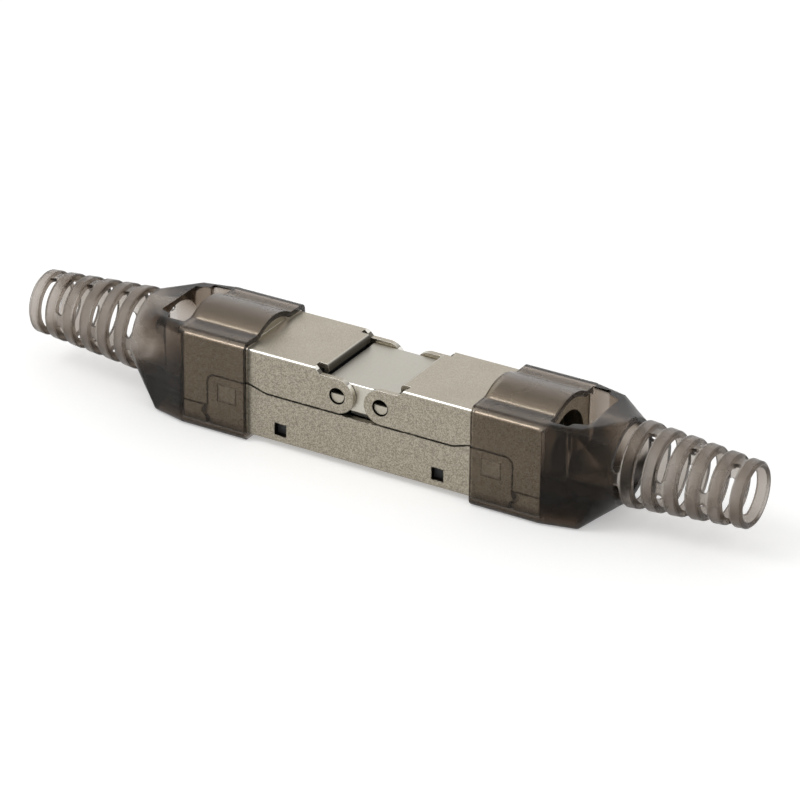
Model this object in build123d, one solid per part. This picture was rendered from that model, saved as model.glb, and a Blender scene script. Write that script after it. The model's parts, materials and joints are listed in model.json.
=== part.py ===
from build123d import *
from math import cos, degrees, radians, sin, sqrt
import os

# Inline coupler that joins two shielded network cables without tools.
#
# A flat nickel-plated metal body holds a circuit board with rows of insulation-cutting
# contacts at each end. Two lids, hinged near the middle, close over the contacts. A smoky
# translucent boot slides over each end of the body and guides the cable out through a
# slotted, tapering tube.
#
# Frame: X along the cable, Y across, Z up. The origin is at the centre of the underside of
# the boots, the surface that the coupler rests on. All sizes are in millimetres. Pieces of
# the right-hand end (+X) are modelled, and those of the left-hand end are the same pieces
# turned half a turn about Z.

# Metal body
body_length = 64.8
body_width = 16.5
body_height = 15.1
shell_wall = 0.9
body_edge_radius = 0.5
body_end_radius = 0.5
seam_gap = 0.2
cable_axis_height = 9.08

# Base of the body: its side walls follow the parting line
floor_thickness = 0.9
base_wall_height = 7.94
shoulder_rise = 0.95
shoulder_foot_to_end = 15.5
shoulder_run = 3.2
shoulder_foot_radius = 3.0
shoulder_top_radius = 1.4
tongue_length = 4.8
base_corner_radius = 1.3
tongue_height = 3.3
tongue_slit = 0.42
tongue_hook = 1.2
tongue_hook_low = 1.3
tongue_hook_high = 2.7
tongue_hook_back = 0.4
catch_hole_size = 2.1
catch_hole_to_end = 18.1
catch_hole_height = 2.35

# Lids and their hinge
hinge_place = 3.9
ear_radius = 2.95
lid_plate_end = 6.5
lid_plate_round = 0.7
lid_lip_height = 1.55
lid_lip_round = 0.35
knee_place = 7.0
knee_run = 1.1
relief_width = 1.05
relief_length = 1.8
hinge_pin_radius = 1.2
hinge_running_gap = 0.13
hinge_seat_gap = 0.02
hinge_pin_recess = 0.65
hinge_pin_chamfer = 0.15

# Raised arch of each lid above the cable
arch_radius = 7.5
arch_length = 11.4
arch_valley_radius = 1.2
cable_entry_radius = 5.4

# Centre cover between the lids
cover_length = 12.4
cover_thickness = 0.8
cover_side_gap = 0.1
cover_edge_radius = 0.3
cover_flange_length = 11.4
cover_flange_drop = 2.35
cover_drop = 0.6
cover_leg_length = 4.6
cover_leg_thickness = 0.9

# Board and its carrier
carrier_length = 40.0
carrier_wall = 1.0
carrier_rib = 1.2
carrier_height = 2.7
carrier_bays = 2
carrier_side_gap = 0.15
board_length = 36.0
board_thickness = 1.2
board_side_gap = 0.5
board_notch_gap = 0.3

# Insulation-cutting contacts and the block that holds them
contacts_per_row = 4
contact_pitch = 2.2
contact_width = 1.7
contact_thickness = 0.4
contact_height = 4.3
contact_slit = 0.35
contact_slit_depth = 2.6
contact_row_place = 4.4
contact_tail_width = 0.6
contact_lead_in = 0.52
contact_pocket_gap = 0.08
tail_hole_sides = 8
block_start = 7.8
block_end_wall = 0.9
block_width = 12.4
block_height = 5.0
block_wire_channel = 0.95
block_wire_depth = 3.0
block_aisle_width = 4.6
block_aisle_depth = 3.4

# Wire manager held under each lid
manager_length = 12.6
manager_side_gap = 0.15
manager_top_gap = 0.05
manager_block_gap = 0.25
manager_groove_radius = 0.55
manager_tunnel_radius = 3.0
manager_corner_radius = 0.8
manager_finger_length = 1.4
manager_finger_drop = 0.9
manager_finger_gap = 0.06
manager_finger_inset = 1.0

# Saddle and spring that grip the cable's screen
saddle_end_gap = 1.0
saddle_length = 6.9
saddle_side_gap = 0.15
saddle_trough_radius = 4.5
saddle_shoulder_drop = 1.7
spring_thickness = 0.3
spring_width = 4.0
spring_foot = 1.0
spring_radius = 4.9

# Boots
boot_wall = 0.9
boot_clearance = 0.12
boot_overlap = 11.9
boot_corner_radius = 1.3
boot_inner_corner_radius = 0.58
boot_valley_radius = 2.2
boot_inner_valley_radius = 1.3
boot_cover_overhang = 0.5
neck_length = 5.9
neck_end_width = 15.7
slope_length = 4.7
root_flat_angle = 8.0
cavity_width = 14.0
cavity_length = 3.68
window_step_run = 0.2
window_narrow_width = 11.7
window_end_width = 9.9
window_length = 6.06
window_corner_radius = 0.4
bore_start_radius = 6.2
latch_pocket_place = 1.8
latch_pocket_length = 3.4
latch_pocket_height = 3.0
latch_pocket_drop = 1.35
latch_pocket_depth = 0.2

# Slotted tube of each boot
tube_length = 21.6
tube_root_radius = 7.06
tube_tip_radius = 5.26
tube_wall = 0.95
tip_bore_length = 2.0
tip_chamfer = 0.35
ring_rows = 6
first_ring = 2.8
last_ring = 1.05
slot_width = 1.45
slot_bridge = 2.0
groove_width = 2.0
groove_floor = 0.8
groove_depth = 0.35

# Places worked out from the sizes above
boot_gap = boot_wall + boot_clearance
body_bottom = boot_gap
body_top = body_bottom + body_height
body_end = body_length / 2
half_width = body_width / 2
inner_half_width = half_width - shell_wall
shoulder_foot = body_end - shoulder_foot_to_end
base_wall_reach = body_end - tongue_length
catch_hole_place = body_end - catch_hole_to_end
saddle_start = body_end - shell_wall - saddle_end_gap - saddle_length
floor_top = body_bottom + floor_thickness
cable_z = body_bottom + cable_axis_height
parting_z = body_bottom + base_wall_height
shoulder_z = parting_z + shoulder_rise
tongue_z = body_bottom + tongue_height
lid_underside = body_top - shell_wall
pin_z = parting_z + seam_gap + ear_radius
ear_top = pin_z + ear_radius
cover_top = ear_top - cover_drop
carrier_top = floor_top + carrier_height
board_top = carrier_top + board_thickness
block_top = board_top + block_height
block_length = contacts_per_row * contact_pitch + 2 * block_end_wall
mouth_x = body_end - boot_overlap
neck_start = body_end + boot_clearance
neck_end = neck_start + neck_length
tube_root = neck_end + slope_length
tube_tip = tube_root + tube_length
cavity_end = neck_start + cavity_length
bore_tip_radius = tube_tip_radius - tube_wall
boot_top = body_top + boot_gap
boot_half_width = half_width + boot_gap
across = 4 * body_width

# How far a cutting shape runs past the surface that it cuts
cut_margin = 1.0


def side_block(x_low, x_high, y_low, y_high, z_low, z_high):
    """A plain block between two opposite corners."""
    size = (x_high - x_low, y_high - y_low, z_high - z_low)
    middle = ((x_low + x_high) / 2, (y_low + y_high) / 2, (z_low + z_high) / 2)
    return Pos(*middle) * Box(*size)


def centred_block(x_low, x_high, width, z_low, z_high):
    """A plain block that is centred on the cable's vertical plane."""
    return side_block(x_low, x_high, -width / 2, width / 2, z_low, z_high)


def rod_along_x(radius, x_low, x_high):
    """A round bar on the cable's axis."""
    rod = Rot(0, 90, 0) * Cylinder(radius, x_high - x_low)
    return Pos((x_low + x_high) / 2, 0, cable_z) * rod


def rod_across(radius, x, z, length):
    """A round bar along Y."""
    return Pos(x, 0, z) * Rot(90, 0, 0) * Cylinder(radius, length)


def side_profile(points, roundings):
    """An outline in the side view, with the corners nearest to given places rounded."""
    with BuildSketch(Plane.XZ) as sketch:
        with BuildLine():
            Polyline(*points, close=True)
        make_face()
        for (x, z), radius in roundings:
            corner = sketch.vertices().sort_by_distance((x, z))[0]
            fillet(corner, radius)
    return sketch.sketch


def extrude_across(profile, width):
    """The side-view outline given a width about the middle plane."""
    return extrude(profile, width / 2, both=True)


def end_section(x, half_breadth, low, high, corner_radius):
    """A rectangle with round corners, seen from the end."""
    height = high - low
    face = RectangleRounded(2 * half_breadth, height, corner_radius)
    return Plane(origin=(x, 0, (low + high) / 2), x_dir=(0, 1, 0), z_dir=(1, 0, 0)) * face


def arched_section(x, half_breadth, low, high, crest_radius, valley_radius, corner_radius):
    """A rectangle with round corners and an arch about the cable's axis on its top."""
    view = Plane(origin=(x, 0, cable_z), x_dir=(0, 1, 0), z_dir=(1, 0, 0))
    middle = (low + high) / 2 - cable_z
    foot = sqrt(crest_radius**2 - (high - cable_z) ** 2)
    with BuildSketch(view) as sketch:
        with Locations((0, middle)):
            Rectangle(2 * half_breadth, high - low)
        with BuildLine():
            crest = ThreePointArc((-foot, high - cable_z), (0, crest_radius), (foot, high - cable_z))
            Line(crest @ 1, crest @ 0)
        make_face()
        for side in (-1, 1):
            valley = (side * foot, high - cable_z)
            fillet(sketch.vertices().sort_by_distance(valley)[0], valley_radius)
        for side in (-1, 1):
            for level in (low, high):
                corner = (side * half_breadth, level - cable_z)
                fillet(sketch.vertices().sort_by_distance(corner)[0], corner_radius)
    return sketch.sketch


def parting_points(offset):
    """The parting line between base and lid, from the middle outwards, raised by an offset."""
    return [
        (shoulder_foot, parting_z + offset),
        (shoulder_foot + shoulder_run, shoulder_z + offset),
        (base_wall_reach + offset, shoulder_z + offset),
        (base_wall_reach + offset, tongue_z + offset),
        (body_end, tongue_z + offset),
    ]


def parting_roundings(offset):
    """Corners of the parting line and their radii."""
    foot, top, corner = parting_points(offset)[:3]
    return [
        (foot, shoulder_foot_radius - offset),
        (top, shoulder_top_radius + offset),
        (corner, base_corner_radius + offset),
    ]


def mirrored_x(points):
    """The same points on the other side of the middle, in reverse order."""
    return [(-x, z) for x, z in reversed(points)]


def make_base_shell():
    """Open-topped tray with side walls up to the parting line and a tongue at each end."""
    right = parting_points(0)
    outline = right + [(body_end, body_bottom), (-body_end, body_bottom)] + mirrored_x(right)
    roundings = parting_roundings(0)
    roundings += [((-x, z), radius) for (x, z), radius in roundings]
    shell = extrude_across(side_profile(outline, roundings), body_width)
    long_edges = shell.edges().filter_by(Axis.X).group_by(Axis.Z)[0]
    shell = fillet(long_edges, body_edge_radius)
    by_place = shell.edges().filter_by(Axis.Z).group_by(Axis.X)
    shell = fillet(by_place[0] + by_place[-1], body_end_radius)
    inside_end = body_end - shell_wall
    shell -= centred_block(-inside_end, inside_end, 2 * inner_half_width, floor_top, body_top)
    for end in (-1, 1):
        shell -= tongue_cut(end)
        place = end * catch_hole_place
        half_hole = catch_hole_size / 2
        low = body_bottom + catch_hole_height - half_hole
        high = low + catch_hole_size
        shell -= centred_block(place - half_hole, place + half_hole, across, low, high)
    entry = rod_along_x(cable_entry_radius, -body_end - cut_margin, body_end + cut_margin)
    return shell - entry


def tongue_cut(end):
    """Hooked slit that frees the tongue from the side wall, on both sides of one end."""
    inner = end * base_wall_reach
    outer = end * (base_wall_reach + tongue_slit)
    hook = end * (base_wall_reach + tongue_hook)
    back = end * (base_wall_reach - tongue_hook_back)
    low = body_bottom + tongue_hook_low
    high = body_bottom + tongue_hook_high
    start = body_bottom - cut_margin
    points = [
        (back, start),
        (outer, start),
        (outer, low),
        (hook, (low + high) / 2),
        (hook, high),
        (outer, tongue_z + seam_gap),
        (inner, tongue_z + seam_gap),
        (inner, high),
        (outer, (low + high) / 2),
        (back, low),
    ]
    slit = extrude_across(side_profile(points, []), across)
    reach = abs(hook) + cut_margin
    return slit - centred_block(-reach, reach, 2 * inner_half_width, start, floor_top)


def lid_outline():
    """Side view of a lid: round ear, knee, flat top, end, and the parting line below."""
    upper = [(hinge_place, ear_top), (knee_place, ear_top), (knee_place + knee_run, body_top)]
    lower = list(reversed(parting_points(seam_gap)))
    points = upper + [(body_end, body_top)] + lower + [(hinge_place, parting_z + seam_gap)]
    with BuildSketch(Plane.XZ) as sketch:
        with BuildLine():
            Polyline(*points)
            ThreePointArc(points[-1], (hinge_place - ear_radius, pin_z), points[0])
        make_face()
        for (x, z), radius in parting_roundings(seam_gap):
            fillet(sketch.vertices().sort_by_distance((x, z))[0], radius)
    return sketch.sketch


def make_lid():
    """Lid with two ears, a flat top with a turned-down inner lip, and an arch over the cable."""
    lid = extrude_across(lid_outline(), body_width)
    top_edges = lid.edges().filter_by(Axis.X).group_by(Axis.Z)[-1]
    lid = fillet(top_edges, body_edge_radius)
    uprights = lid.edges().filter_by(Axis.Z).group_by(Axis.X)[-1]
    lid = fillet(uprights, body_end_radius)
    inside_end = body_end - shell_wall
    lid -= centred_block(0, inside_end, 2 * inner_half_width, 0, body_top + cut_margin)

    plate_half = inner_half_width - relief_width
    plate = centred_block(lid_plate_end, body_end, 2 * plate_half, lid_underside, body_top)
    lip_end = lid_plate_end + shell_wall
    plate += centred_block(lid_plate_end, lip_end, 2 * plate_half, body_top - lid_lip_height, body_top)
    lip_high = plate.edges().filter_by(Axis.Y).group_by(Axis.X)[0].sort_by(Axis.Z)[-1]
    plate = fillet(lip_high, lid_plate_round)
    lip_low = plate.edges().filter_by(Axis.Y).group_by(Axis.X)[0].sort_by(Axis.Z)[0]
    lid += fillet(lip_low, lid_lip_round)
    joined_from = lid_plate_end + relief_length
    lid += centred_block(joined_from, inside_end, 2 * inner_half_width, lid_underside, body_top)

    arch_start = body_end - arch_length
    crest = extrude(
        arched_section(
            arch_start, half_width, body_bottom, body_top, arch_radius, arch_valley_radius, body_edge_radius
        ),
        arch_length,
    )
    crest_top = body_top + arch_radius
    lid += crest & centred_block(arch_start, body_end, 2 * arch_radius, lid_underside, crest_top)
    hollow = rod_along_x(arch_radius - shell_wall, arch_start + shell_wall, inside_end)
    lid -= hollow & centred_block(arch_start, body_end, across, cable_z, crest_top)
    entry_start = inside_end - cut_margin
    entry_end = body_end + cut_margin
    lid -= rod_along_x(cable_entry_radius, entry_start, entry_end)
    lid -= centred_block(entry_start, entry_end, 2 * cable_entry_radius, 0, cable_z)
    ear_hole = rod_across(hinge_pin_radius + hinge_running_gap, hinge_place, pin_z, across)
    return lid - ear_hole


def make_centre_cover():
    """Saddle between the lids: a top plate, two flanges for the hinge pins and four-square legs."""
    cover_half_width = inner_half_width - cover_side_gap
    flange_inner = cover_half_width - cover_thickness
    flange_low = pin_z - cover_flange_drop
    half_flange = cover_flange_length / 2
    plate = centred_block(
        -cover_length / 2, cover_length / 2, 2 * cover_half_width, cover_top - cover_thickness, cover_top
    )
    cover = plate
    for side in (-1, 1):
        inner, outer = sorted((side * flange_inner, side * cover_half_width))
        cover += side_block(-half_flange, half_flange, inner, outer, flange_low, cover_top)
        near, far = sorted((side * flange_inner, side * (flange_inner - cover_leg_thickness)))
        half_leg = cover_leg_length / 2
        cover += side_block(-half_leg, half_leg, near, far, floor_top, cover_top - cover_thickness)
    rims = cover.edges().filter_by(Axis.X).group_by(Axis.Z)[-1]
    cover = fillet(rims, cover_edge_radius)
    for end in (-1, 1):
        seat = hinge_pin_radius + hinge_seat_gap
        cover -= rod_across(seat, end * hinge_place, pin_z, across)
    return cover


def make_hinge_pin():
    """Plain round pin through both ears of a lid, set in a little from the body's sides."""
    pin = rod_across(hinge_pin_radius, hinge_place, pin_z, body_width - 2 * hinge_pin_recess)
    return chamfer(pin.edges().filter_by(GeomType.CIRCLE), hinge_pin_chamfer)


def leg_notches(gap):
    """Room for the centre cover's legs in the pieces that they pass."""
    outer = inner_half_width
    inner = inner_half_width - cover_side_gap - cover_thickness - cover_leg_thickness - gap
    half_leg = cover_leg_length / 2 + gap
    return [
        side_block(-half_leg, half_leg, inner, outer, 0, body_top),
        side_block(-half_leg, half_leg, -outer, -inner, 0, body_top),
    ]


def make_board_carrier():
    """Moulded frame that lifts the board off the floor, solid in the middle with bays outside it."""
    half_length = carrier_length / 2
    half_breadth = inner_half_width - carrier_side_gap
    bay_width = 2 * (half_breadth - carrier_wall)
    carrier = centred_block(-half_length, half_length, 2 * half_breadth, floor_top, carrier_top)
    web = cover_leg_length / 2 + board_notch_gap + carrier_rib
    bay_length = (half_length - carrier_wall - web - (carrier_bays - 1) * carrier_rib) / carrier_bays
    for end in (-1, 1):
        for bay in range(carrier_bays):
            start = web + bay * (bay_length + carrier_rib)
            low, high = sorted((end * start, end * (start + bay_length)))
            carrier -= centred_block(low, high, bay_width, floor_top, carrier_top)
    for notch in leg_notches(board_notch_gap):
        carrier -= notch
    return carrier


def contact_places():
    """Where each contact of the right-hand block stands, as x and y."""
    first = block_start + block_end_wall + contact_pitch / 2
    return [
        (first + step * contact_pitch, side * contact_row_place)
        for side in (-1, 1)
        for step in range(contacts_per_row)
    ]


def make_circuit_board():
    """Board with holes for the contact tails and notches for the cover's legs."""
    half_breadth = inner_half_width - board_side_gap
    board = centred_block(-board_length / 2, board_length / 2, 2 * half_breadth, carrier_top, board_top)
    for notch in leg_notches(board_notch_gap):
        board -= notch
    hole_radius = contact_tail_width / 2 * sqrt(2) + contact_pocket_gap
    hole = extrude(RegularPolygon(hole_radius, tail_hole_sides, major_radius=False), board_thickness)
    for end in (-1, 1):
        for x, y in contact_places():
            board -= Pos(end * x, end * y, carrier_top) * hole
    return board


def make_contact(x, y):
    """Forked blade that cuts a wire's insulation, with a tail for the board."""
    half_width_x = contact_width / 2
    half_slit = contact_slit / 2
    half_tail = contact_tail_width / 2
    top = board_top + contact_height
    slit_low = top - contact_slit_depth
    points = [
        (x - half_width_x, board_top),
        (x - half_tail, board_top),
        (x - half_tail, carrier_top),
        (x + half_tail, carrier_top),
        (x + half_tail, board_top),
        (x + half_width_x, board_top),
        (x + half_width_x, top),
        (x + contact_lead_in, top),
        (x + half_slit, top - contact_lead_in),
        (x + half_slit, slit_low),
        (x - half_slit, slit_low),
        (x - half_slit, top - contact_lead_in),
        (x - contact_lead_in, top),
        (x - half_width_x, top),
    ]
    return Pos(0, y, 0) * extrude_across(side_profile(points, []), contact_thickness)


def make_contacts():
    """The eight blades of one end."""
    return Compound(children=[make_contact(x, y) for x, y in contact_places()])


def make_contact_block():
    """Block with a pocket for each blade, a channel for each wire and an aisle for the cable."""
    block_end = block_start + block_length
    block = centred_block(block_start, block_end, block_width, board_top, block_top)
    aisle_low = block_top - block_aisle_depth
    block -= centred_block(block_start, block_end, block_aisle_width, aisle_low, block_top)
    half_pocket = contact_width / 2 + contact_pocket_gap
    half_gap = contact_thickness / 2 + contact_pocket_gap
    half_channel = block_wire_channel / 2
    channel_low = block_top - block_wire_depth
    for x, y in contact_places():
        pocket_low, pocket_high = y - half_gap, y + half_gap
        block -= side_block(x - half_pocket, x + half_pocket, pocket_low, pocket_high, board_top, block_top)
        inner, outer = sorted((0, 2 * y))
        block -= side_block(x - half_channel, x + half_channel, inner, outer, channel_low, block_top)
    return block


def make_wire_manager():
    """Cap under the lid that carries the wires and presses each one into its contact."""
    low = block_top + manager_block_gap
    high = lid_underside - manager_top_gap
    end = block_start + manager_length
    half_breadth = inner_half_width - manager_side_gap
    manager = centred_block(block_start, end, 2 * half_breadth, low, high)
    uprights = manager.edges().filter_by(Axis.Z).group_by(Axis.X)[-1]
    manager = fillet(uprights, manager_corner_radius)
    manager -= rod_along_x(manager_tunnel_radius, block_start + block_length, end + cut_margin)
    half_finger = block_wire_channel / 2 - manager_finger_gap
    finger_outer = contact_row_place - manager_finger_inset
    finger_inner = finger_outer - manager_finger_length
    finger_low = low - manager_finger_drop
    finger_high = low + manager_finger_drop
    for x, y in contact_places():
        side = 1 if y > 0 else -1
        groove = rod_across(manager_groove_radius, x, low, 2 * half_breadth)
        near, far = sorted((side * contact_row_place, side * half_breadth))
        manager -= groove & side_block(x - cut_margin, x + cut_margin, near, far, low - cut_margin, high)
        near, far = sorted((side * finger_inner, side * finger_outer))
        manager += side_block(x - half_finger, x + half_finger, near, far, finger_low, finger_high)
    return manager


def make_cable_saddle():
    """Block on the floor with a half-round trough that the cable's screen lies in."""
    half_breadth = inner_half_width - saddle_side_gap
    top = cable_z - saddle_shoulder_drop
    end = saddle_start + saddle_length
    saddle = centred_block(saddle_start, end, 2 * half_breadth, floor_top, top)
    trough = rod_along_x(saddle_trough_radius, saddle_start - cut_margin, end + cut_margin)
    return saddle - trough


def make_shield_spring():
    """Sprung hoop over the cable, with legs and feet that stand on the saddle's shoulders."""
    foot_z = cable_z - saddle_shoulder_drop
    outer = spring_radius + spring_thickness
    start = saddle_start + (saddle_length - spring_width) / 2
    end = start + spring_width
    hoop = rod_along_x(outer, start, end) & centred_block(start, end, across, cable_z, body_top + outer)
    hoop += centred_block(start, end, 2 * outer, foot_z, cable_z)
    hoop -= rod_along_x(spring_radius, start - cut_margin, end + cut_margin)
    hoop -= centred_block(start - cut_margin, end + cut_margin, 2 * spring_radius, 0, cable_z)
    for side in (-1, 1):
        near, far = sorted((side * spring_radius, side * (outer + spring_foot)))
        hoop += side_block(start, end, near, far, foot_z, foot_z + spring_thickness)
    return hoop


def eight_part_circle(x, radius, flat_angle):
    """A circle of eight arcs, to match the four sides and four corners of a rounded rectangle."""
    half = flat_angle / 2
    bounds = [quarter + shift for quarter in (0, 90, 180, 270) for shift in (-half, half)]
    arcs = []
    for index, start in enumerate(bounds):
        stop = bounds[(index + 1) % len(bounds)]
        if stop < start:
            stop += 360
        places = [radians(start), radians((start + stop) / 2), radians(stop)]
        points = [(x, radius * cos(a), cable_z + radius * sin(a)) for a in places]
        arcs.append(ThreePointArc(*points))
    return make_face(Wire(arcs))


def sleeve_section(x, inset):
    """Cross-section of the boot's sleeve: its outside, or its inside moved in by an inset."""
    return arched_section(
        x,
        boot_half_width - inset,
        inset,
        boot_top - inset,
        arch_radius + boot_gap - inset,
        boot_inner_valley_radius if inset else boot_valley_radius,
        boot_inner_corner_radius if inset else boot_corner_radius,
    )


def boot_arch(start, end, inset):
    """The part of the sleeve's section that arches over the flat top, between two places."""
    low = boot_top - inset - boot_wall / 2
    room = centred_block(start, end, 2 * arch_radius + 2 * boot_gap, low, boot_top + arch_radius + boot_gap)
    return extrude(sleeve_section(start, inset), end - start) & room


def boot_outside():
    """The boot's outside without its tube: sleeve with its arch, neck and slope."""
    end_width = neck_end_width / 2
    start = end_section(neck_start, boot_half_width, 0, boot_top, boot_corner_radius)
    middle = end_section(neck_end, end_width, 0, boot_top, boot_corner_radius)
    root = eight_part_circle(tube_root, tube_root_radius, root_flat_angle)
    outside = loft([start, middle], ruled=True)
    outside += loft([middle, root], ruled=True)
    outside += extrude(sleeve_section(mouth_x, 0), neck_start - mouth_x)
    return outside + boot_arch(neck_start, neck_start + boot_cover_overhang, 0)


def tube_radius(x):
    """Outer radius of the tube's cone at a place along it."""
    share = (x - tube_root) / tube_length
    return tube_root_radius + share * (tube_tip_radius - tube_root_radius)


def ring_places():
    """Centres of the slot rows, evenly spread from the tip inwards to the root."""
    pitch = (tube_length - first_ring - last_ring) / (ring_rows - 1)
    return [tube_tip - first_ring - row * pitch for row in range(ring_rows)]


def make_tube():
    """Tapered bar with a shallow groove at each slot row: the outside of the boot's tube."""
    with BuildSketch(Plane.XZ) as half:
        with BuildLine():
            points = [(tube_root, cable_z + tube_radius(tube_root))]
            for place in reversed(ring_places()):
                near = place - groove_width / 2
                far = place + groove_width / 2
                bottom_near = place - groove_floor / 2
                bottom_far = place + groove_floor / 2
                if near > points[-1][0]:
                    points.append((near, cable_z + tube_radius(near)))
                points.append((bottom_near, cable_z + tube_radius(bottom_near) - groove_depth))
                points.append((bottom_far, cable_z + tube_radius(bottom_far) - groove_depth))
                points.append((far, cable_z + tube_radius(far)))
            points.append((tube_tip, cable_z + tube_tip_radius))
            points.append((tube_tip, cable_z))
            points.append((tube_root, cable_z))
            Polyline(*points, close=True)
        make_face()
        tip_corner = (tube_tip, cable_z + tube_tip_radius)
        chamfer(half.vertices().sort_by_distance(tip_corner)[0], tip_chamfer)
    return revolve(half.sketch, Axis((0, 0, cable_z), (1, 0, 0)))


def bore_cutter():
    """The long tapering bore from the neck's cavity to the tip, with a chamfered mouth."""
    mouth_radius = bore_tip_radius + tip_chamfer
    points = [
        (cavity_end - cut_margin, cable_z),
        (cavity_end - cut_margin, cable_z + bore_start_radius),
        (cavity_end, cable_z + bore_start_radius),
        (tube_root, cable_z + tube_root_radius - tube_wall),
        (tube_tip - tip_bore_length, cable_z + bore_tip_radius),
        (tube_tip - tip_chamfer, cable_z + bore_tip_radius),
        (tube_tip, cable_z + mouth_radius),
        (tube_tip + cut_margin, cable_z + mouth_radius),
        (tube_tip + cut_margin, cable_z),
    ]
    return revolve(side_profile(points, []), Axis((0, 0, cable_z), (1, 0, 0)))


def slot_cutter(place, middle_angle):
    """One slot through the tube wall: part of a ring with round ends."""
    outer = tube_radius(place) + cut_margin
    middle_radius = tube_radius(place) - tube_wall / 2
    end_angle = degrees((slot_bridge / 2 + slot_width / 2) / middle_radius)
    sweep = 180 - 2 * end_angle
    with BuildSketch(Plane.XZ) as section:
        with Locations((place, cable_z + outer / 2)):
            Rectangle(slot_width, outer)
    axis = Axis((0, 0, cable_z), (1, 0, 0))
    turned = section.sketch.rotate(axis, middle_angle - sweep / 2)
    cutter = revolve(turned, axis, sweep)
    for angle in (middle_angle - sweep / 2, middle_angle + sweep / 2):
        peg = Pos(place, 0, cable_z + outer / 2) * Cylinder(slot_width / 2, outer)
        cutter += peg.rotate(axis, angle)
    return cutter


def window_cutter():
    """Stepped opening in the neck's top, which runs straight down into the cavity below."""
    start = neck_start + boot_cover_overhang
    half_wide = cavity_width / 2
    half_narrow = window_narrow_width / 2
    half_end = window_end_width / 2
    step = cavity_end + window_step_run
    end = neck_start + window_length
    points = [
        (start, -half_wide),
        (cavity_end, -half_wide),
        (step, -half_narrow),
        (end, -half_end),
        (end, half_end),
        (step, half_narrow),
        (cavity_end, half_wide),
        (start, half_wide),
    ]
    with BuildSketch(Plane.XY.offset(cable_z)) as outline:
        with BuildLine():
            Polyline(*points, close=True)
        make_face()
        for x, y in points:
            if x > start:
                fillet(outline.vertices().sort_by_distance((x, y))[0], window_corner_radius)
    return extrude(outline.sketch, across)


def boot_hollow():
    """All the room inside a boot: sleeve, cavity behind the body's end, and window."""
    section = sleeve_section(mouth_x - cut_margin, boot_wall)
    hollow = extrude(section, neck_start - mouth_x + cut_margin)
    overhang_end = neck_start + boot_cover_overhang
    hollow += boot_arch(neck_start - cut_margin, overhang_end, boot_wall)
    under_roof = boot_top - boot_wall
    hollow += centred_block(neck_start - cut_margin, overhang_end, cavity_width, cable_z, under_roof)
    hollow += rod_along_x(cavity_width / 2, neck_start - cut_margin, cavity_end)
    return hollow


def make_boot():
    """Translucent boot: sleeve over the body, window, sloping neck and slotted tube."""
    boot = boot_outside() + make_tube()
    boot -= boot_hollow()
    boot -= window_cutter()
    boot -= bore_cutter()
    for row, place in enumerate(ring_places()):
        first_angle = 90 if row % 2 == 0 else 0
        for middle_angle in (first_angle, first_angle + 180):
            boot -= slot_cutter(place, middle_angle)
    pocket_start = mouth_x + latch_pocket_place
    pocket_top = cable_z - latch_pocket_drop
    pocket_reach = boot_half_width - boot_wall + latch_pocket_depth
    boot -= centred_block(
        pocket_start,
        pocket_start + latch_pocket_length,
        2 * pocket_reach,
        pocket_top - latch_pocket_height,
        pocket_top,
    )
    return boot


def turned(shape):
    """The same piece at the other end of the coupler."""
    return shape.rotate(Axis.Z, 180)


def write(name, shape):
    """One STEP file for a piece."""
    export_step(shape, os.path.join("parts", name + ".step"))


def main():
    """Make every piece and write it to parts/."""
    os.makedirs("parts", exist_ok=True)
    write("base_shell", make_base_shell())
    write("centre_cover", make_centre_cover())
    write("board_carrier", make_board_carrier())
    write("circuit_board", make_circuit_board())
    paired = {
        "lid": make_lid(),
        "hinge_pin": make_hinge_pin(),
        "contact_block": make_contact_block(),
        "contacts": make_contacts(),
        "wire_manager": make_wire_manager(),
        "cable_saddle": make_cable_saddle(),
        "shield_spring": make_shield_spring(),
        "boot": make_boot(),
    }
    for name, shape in paired.items():
        write(name + "_right", shape)
        write(name + "_left", turned(shape))


main()
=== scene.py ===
import json
import logging
import math
from dataclasses import dataclass
from enum import Enum

import bpy
from mathutils import Matrix, Vector


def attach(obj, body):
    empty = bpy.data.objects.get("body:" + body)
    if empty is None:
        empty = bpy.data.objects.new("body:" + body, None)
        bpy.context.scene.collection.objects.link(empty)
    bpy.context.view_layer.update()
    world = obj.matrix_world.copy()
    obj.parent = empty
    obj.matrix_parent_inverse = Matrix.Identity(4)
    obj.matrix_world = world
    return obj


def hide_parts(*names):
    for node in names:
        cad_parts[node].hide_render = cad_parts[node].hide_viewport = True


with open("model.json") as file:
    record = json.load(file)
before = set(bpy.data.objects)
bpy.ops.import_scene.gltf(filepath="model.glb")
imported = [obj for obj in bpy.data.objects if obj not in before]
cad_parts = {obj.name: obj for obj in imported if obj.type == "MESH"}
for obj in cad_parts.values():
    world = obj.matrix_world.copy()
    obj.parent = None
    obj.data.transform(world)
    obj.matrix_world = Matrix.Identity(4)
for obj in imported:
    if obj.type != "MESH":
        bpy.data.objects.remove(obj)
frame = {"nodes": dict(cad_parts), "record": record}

log = logging.getLogger("coupler")

MM = 0.001
HINGE_X = 3.9 * MM
HINGE_Z = 12.11 * MM
WHITE = (1.0, 1.0, 1.0, 1.0)

Colour = tuple[float, float, float]
Place = tuple[float, float, float]
Socket = bpy.types.NodeSocket
Value = bpy.types.NodeSocket | float | tuple[float, ...]
Values = dict[str | int, Value]
SocketRows = tuple[tuple[str, str], ...]


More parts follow.
